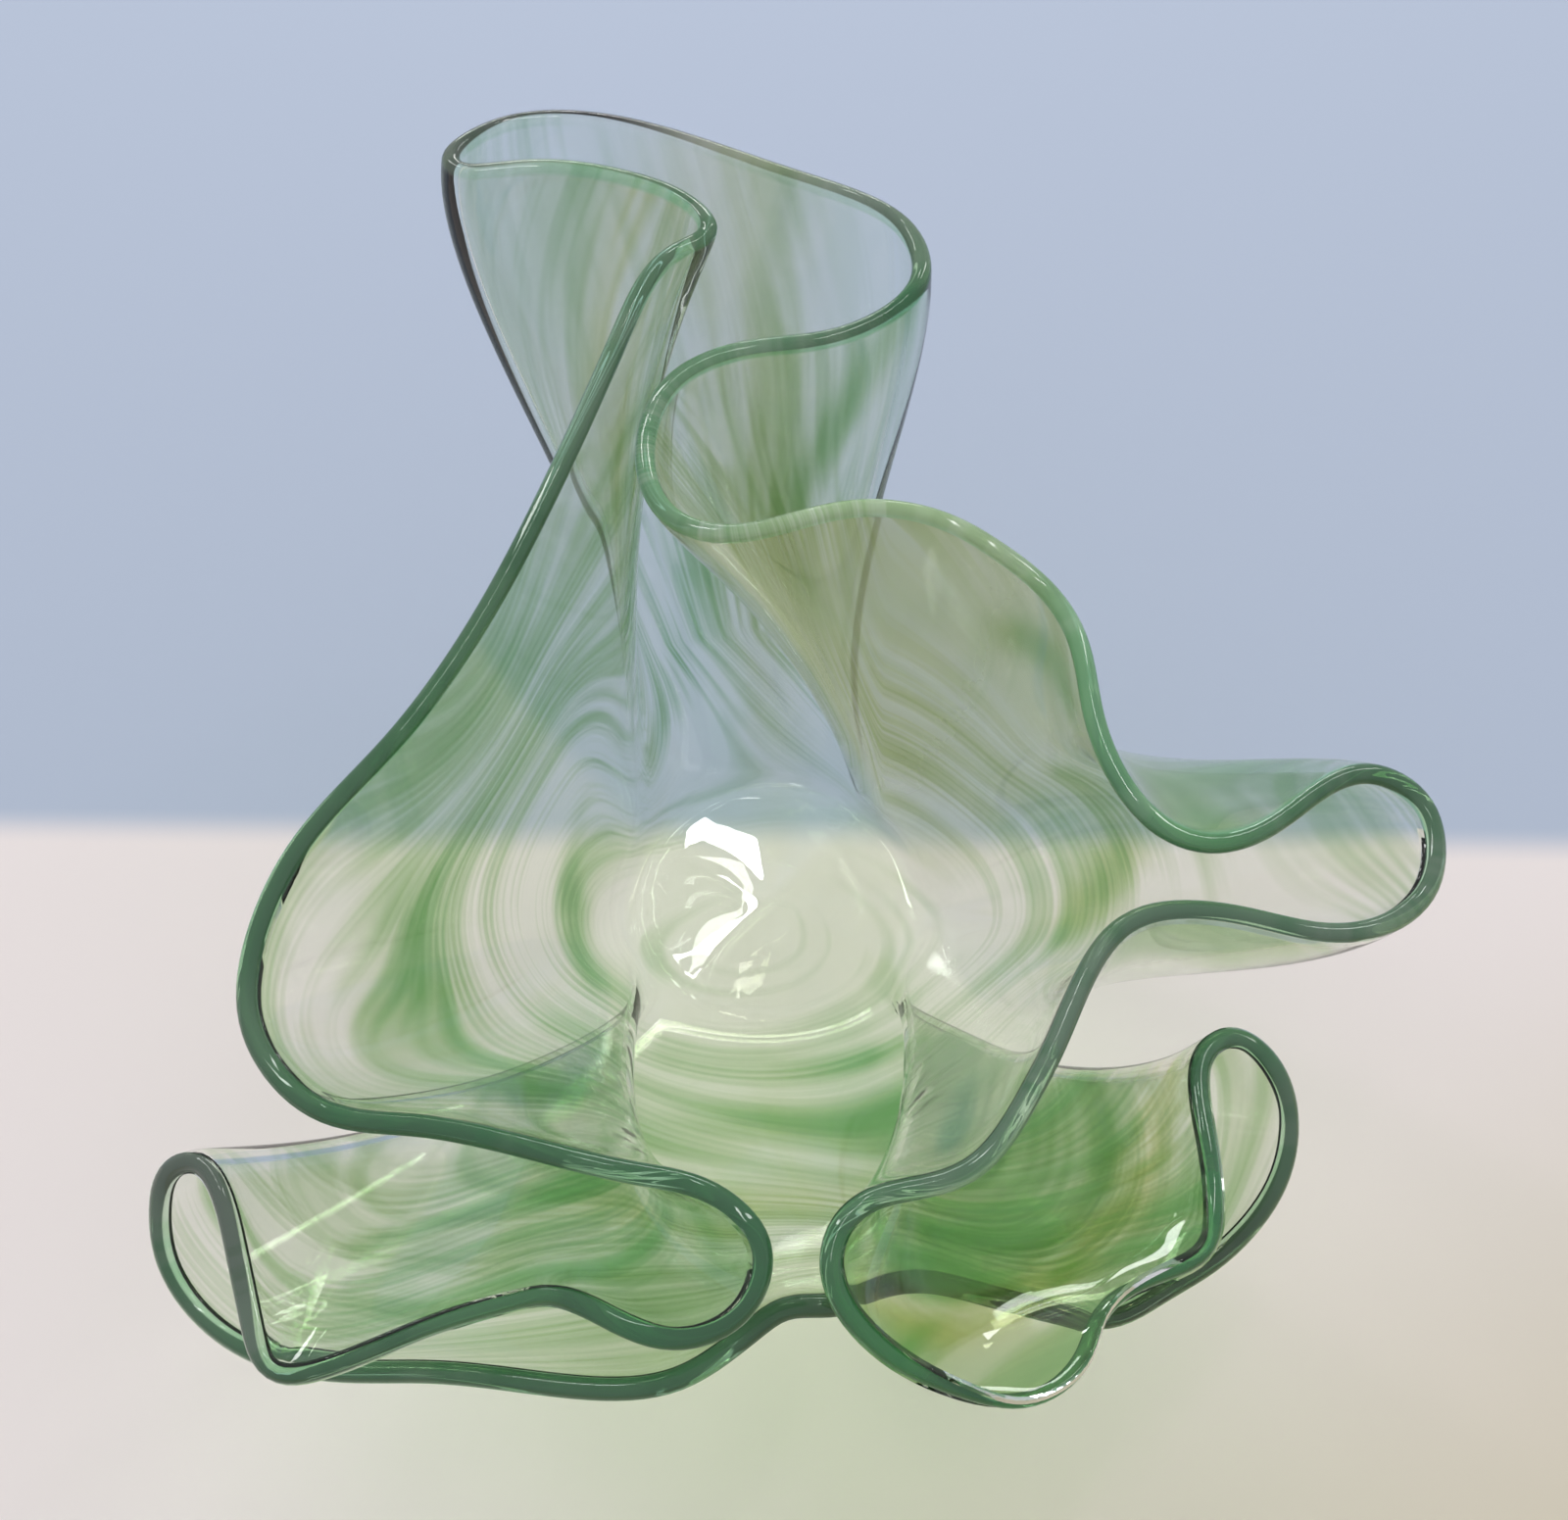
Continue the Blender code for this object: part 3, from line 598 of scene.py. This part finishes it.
def streaky_glass():
    """Slumped streaky art glass, fire-polished: nearly clear sheet with drawn-out streaks of
    green, which look deep green only where the eye looks into the edge. It is as smooth as a
    mirror, and faintly milky in a few lobes, along the rim and where it is densest. A shadow
    ray passes straight through with a tint, so the table under the glass isn't dark."""
    material, tree, out = new_material("streaky green art glass, fire-polished")
    field = {name: add(tree, "ShaderNodeAttribute", {"attribute_name": name}).outputs
             for name in ("flow", "green", "olive", "sea", "milk", "lively", "rim")}
    wave = 0.0
    for length, width, soft, strength in STREAKS:
        drawn = add(tree, "ShaderNodeVectorMath", {"operation": "MULTIPLY"},
                    i0=field["flow"]["Vector"], i1=(1.0 / length, 1.0 / length, 1.0 / width))
        cloud = add(tree, "ShaderNodeTexNoise", Vector=drawn.outputs[0], Scale=1.0, Detail=0.0)
        line = add(tree, "ShaderNodeMapRange", {"interpolation_type": "SMOOTHSTEP"},
                   Value=cloud.outputs["Fac"], i1=0.5 - soft, i2=0.5 + soft,
                   i3=-0.5 * strength, i4=0.5 * strength)
        wave = add(tree, "ShaderNodeMath", {"operation": "ADD"}, i0=line.outputs[0],
                   i1=wave).outputs[0]
    amount = add(tree, "ShaderNodeMath", {"operation": "MULTIPLY_ADD"}, i0=wave,
                 i1=field["lively"]["Fac"], i2=field["green"]["Fac"]).outputs[0]
    body = add(tree, "ShaderNodeValToRGB", stops=zip(STOPS, GREENS), Fac=amount).outputs["Color"]
    for name, codes in (("olive", OLIVES), ("sea", SEA_GREENS), ("rim", EDGE_GREENS)):
        kind = add(tree, "ShaderNodeValToRGB", stops=zip(STOPS, codes), Fac=amount)
        body = add(tree, "ShaderNodeMix", {"data_type": "RGBA"}, i0=field[name]["Fac"], i6=body,
                   i7=kind.outputs["Color"]).outputs[2]
    dense = add(tree, "ShaderNodeMapRange", Value=amount, i1=DENSE_GREEN[0], i2=DENSE_GREEN[1],
                i3=DENSE_CLEARNESS[0], i4=DENSE_CLEARNESS[1])
    clear = add(tree, "ShaderNodeMath", {"operation": "SUBTRACT"}, i0=dense.outputs[0],
                i1=field["milk"]["Fac"])
    glass = add(tree, "ShaderNodeBsdfPrincipled", Base_Color=body, Roughness=0.0,
                IOR=GLASS_IOR, Transmission_Weight=clear.outputs[0])
    tint = add(tree, "ShaderNodeValToRGB", stops=zip((0.0, 1.0), SHADOW_TINTS),
               Fac=field["green"]["Fac"])
    let_through = add(tree, "ShaderNodeBsdfTransparent", Color=tint.outputs["Color"])
    shadow = add(tree, "ShaderNodeLightPath").outputs["Is Shadow Ray"]
    either = add(tree, "ShaderNodeMixShader", i0=shadow, i1=glass.outputs[0],
                 i2=let_through.outputs[0])
    tree.links.new(either.outputs[0], out.inputs["Surface"])
    return material


def build_glass():
    """The whole vase as one closed skin. Only the rounded rim has the rim's deeper green."""
    rows, places, length = middle_surface()
    reach, loop = sheet_places(rows)
    fields = {name: over_skin(values)
              for name, values in glass_fields(rows, places, length, reach, loop).items()}
    skin = glass_skin(rows, ripple_height(rows, places, reach, loop))
    fields["rim"][:len(rows) - 1] = 0.0
    fields["rim"][len(rows) + RIM_STEPS:] = 0.0
    fields["milk"] = fields["milk"] + RIM_MILK * fields["rim"]
    fields["lively"] = fields["lively"] * (1.0 - RIM_CALM * fields["rim"])
    vase = link_object("glass_sheet", closed_mesh("glass_sheet", skin, fields), streaky_glass())
    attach(vase, "root")
    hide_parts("vase")


def build_table():
    """A plain matt sheet just under the foot: a pale table top in front that turns into a
    cool backdrop behind, as flat squares, with painted shade that makes it darker and warmer
    towards the near right corner."""
    side = TABLE_SQUARES + 1
    steps = np.linspace(-TABLE_HALF, TABLE_HALF, side)
    x, y = np.meshgrid(steps, steps)
    points = np.stack([x, y, np.full_like(x, -TABLE_GAP)], axis=2).reshape(-1, 3)
    square = np.arange(TABLE_SQUARES)
    corner = (square[:, None] * side + square[None, :]).ravel()
    faces = np.stack([corner, corner + 1, corner + side + 1, corner + side], axis=1)
    mesh = bpy.data.meshes.new("table")
    mesh.from_pydata(points.tolist(), [], faces.tolist())
    material, tree, out = new_material("matt pale table top")
    place = add(tree, "ShaderNodeTexCoord").outputs["Object"]
    back = add(tree, "ShaderNodeVectorMath", {"operation": "DOT_PRODUCT"}, i0=place,
               i1=TABLE_TURN).outputs["Value"]
    blend = add(tree, "ShaderNodeMapRange", {"interpolation_type": "SMOOTHSTEP"}, Value=back,
                i1=TABLE_LINE[0], i2=TABLE_LINE[1])
    shade = add(tree, "ShaderNodeValToRGB", stops=zip((0.0, 1.0), TABLE_SHADES),
                Fac=blend.outputs[0])
    # Painted shade: the top turns darker and warmer towards the near right corner.
    near = add(tree, "ShaderNodeVectorMath", {"operation": "DOT_PRODUCT"}, i0=place,
               i1=TABLE_SHADE_WAY).outputs["Value"]
    fall = add(tree, "ShaderNodeMapRange", {"interpolation_type": "SMOOTHSTEP"}, Value=near,
               i1=TABLE_SHADE_SPREAD[0], i2=TABLE_SHADE_SPREAD[1])
    tone = add(tree, "ShaderNodeMix", {"data_type": "RGBA"}, i0=fall.outputs[0],
               i6=shade.outputs["Color"], i7=colour(TABLE_PAINTED_SHADE))
    shader = add(tree, "ShaderNodeBsdfPrincipled", Base_Color=tone.outputs[2], Roughness=0.9,
                 Specular_IOR_Level=0.0)
    tree.links.new(shader.outputs[0], out.inputs["Surface"])
    table = link_object("table", mesh, material)


def add_camera():
    """The camera at the photograph's angle: above and in front, looking down into the mouth."""
    data = bpy.data.cameras.new("camera")
    data.sensor_fit = "HORIZONTAL"
    data.sensor_width = SENSOR_WIDTH
    data.lens = FOCAL_PIXELS / FRAME_PIXELS[0] * SENSOR_WIDTH
    camera = bpy.data.objects.new("camera", data)
    camera.location = [c * MM for c in CAMERA_PLACE]
    camera.rotation_euler = (math.radians(90.0 - CAMERA_PITCH), 0.0, 0.0)
    bpy.context.scene.collection.objects.link(camera)
    bpy.context.scene.camera = camera


def add_lamp(name, place, width, height, radiance, target=(0.0, 0.0, 0.06)):
    """A soft box that faces the target, hidden from the camera itself. Its power is its
    area times pi times its radiance."""
    data = bpy.data.lights.new(name, "AREA")
    data.shape = "RECTANGLE"
    data.size = width
    data.size_y = height
    data.energy = radiance * math.pi * width * height
    lamp = bpy.data.objects.new(name, data)
    lamp.visible_camera = False
    lamp.location = place
    away = np.array(place) - np.array(target)
    heading = math.atan2(away[0], -away[1])
    tilt = math.atan2(math.hypot(away[0], away[1]), away[2])
    lamp.rotation_euler = (tilt, 0.0, heading)
    bpy.context.scene.collection.objects.link(lamp)


def light_the_scene():
    """An even pale surround and the soft boxes."""
    world = bpy.data.worlds.new("pale surround")
    bpy.context.scene.world = world
    world.use_nodes = True
    tree = world.node_tree
    back = tree.nodes["Background"]
    back.inputs["Color"].default_value = colour(WORLD_TINT)
    back.inputs["Strength"].default_value = WORLD_LIGHT
    for lamp in LAMPS:
        add_lamp(*lamp)


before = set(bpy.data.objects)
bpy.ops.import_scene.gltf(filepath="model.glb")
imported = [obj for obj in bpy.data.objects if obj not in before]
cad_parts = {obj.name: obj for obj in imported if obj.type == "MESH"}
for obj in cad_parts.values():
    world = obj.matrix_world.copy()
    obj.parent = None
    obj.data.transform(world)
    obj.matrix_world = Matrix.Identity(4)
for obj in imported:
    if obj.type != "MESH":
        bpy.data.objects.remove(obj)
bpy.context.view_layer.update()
build_glass()
build_table()
add_camera()
light_the_scene()
bpy.context.scene.view_settings.view_transform = "Standard"
